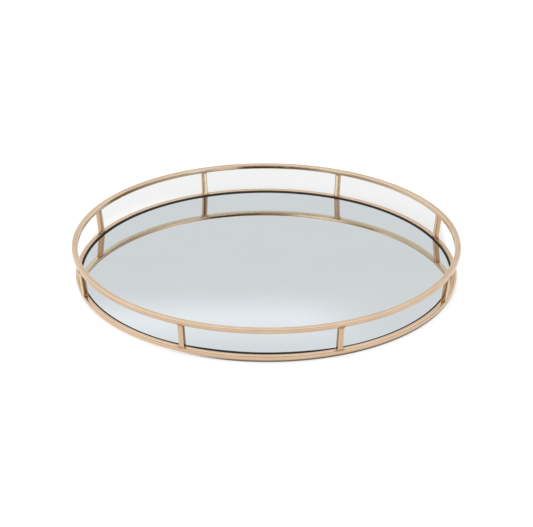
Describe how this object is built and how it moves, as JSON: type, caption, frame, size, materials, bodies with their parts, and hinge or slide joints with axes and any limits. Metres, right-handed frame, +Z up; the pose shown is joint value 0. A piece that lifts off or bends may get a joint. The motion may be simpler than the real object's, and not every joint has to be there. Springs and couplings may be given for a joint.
{
  "type": "dresser vanity tray",
  "caption": "Round mirrored vanity tray with an open gallery: a leaning row of square posts carries a flat top rail above a mirror set in a base ring, all plated rose gold.",
  "frame": {"origin": "centre of the footprint, on the surface the tray stands on, level with the undersides of the foot pads", "axes": "+Z up through the centre of the mirror; +Y to the back. A gallery window, not a post, is centred on +X, -X, +Y and -Y"},
  "size_m": [0.35, 0.35, 0.0315],
  "materials": {
    "plated_bar": "steel bar, electroplated rose gold, polished",
    "plated_sheet": "thin steel sheet, same plating, unpolished satin",
    "weld": "undressed weld beads under the plating",
    "mirror": "silvered float glass, ground edge",
    "black_seal": "satin black silicone bead",
    "foam_tape": "white double-sided foam tape",
    "felt": "dense black wool felt"
  },
  "bodies": {
    "root": {"top_rail": "plated_bar", "base_ring": "plated_bar", "floor_plate": "plated_sheet", "plate_tack_welds": "weld", "mirror_tape_strips": "foam_tape", "mirror_glass": "mirror", "edge_seal": "black_seal", "post_1": "plated_bar", "post_2": "plated_bar", "post_3": "plated_bar", "post_4": "plated_bar", "post_5": "plated_bar", "post_6": "plated_bar", "post_7": "plated_bar", "post_8": "plated_bar", "foot_pad_1": "felt", "foot_pad_2": "felt", "foot_pad_3": "felt", "foot_pad_4": "felt", "foot_pad_5": "felt", "foot_pad_6": "felt"}
  },
  "joints": []
}
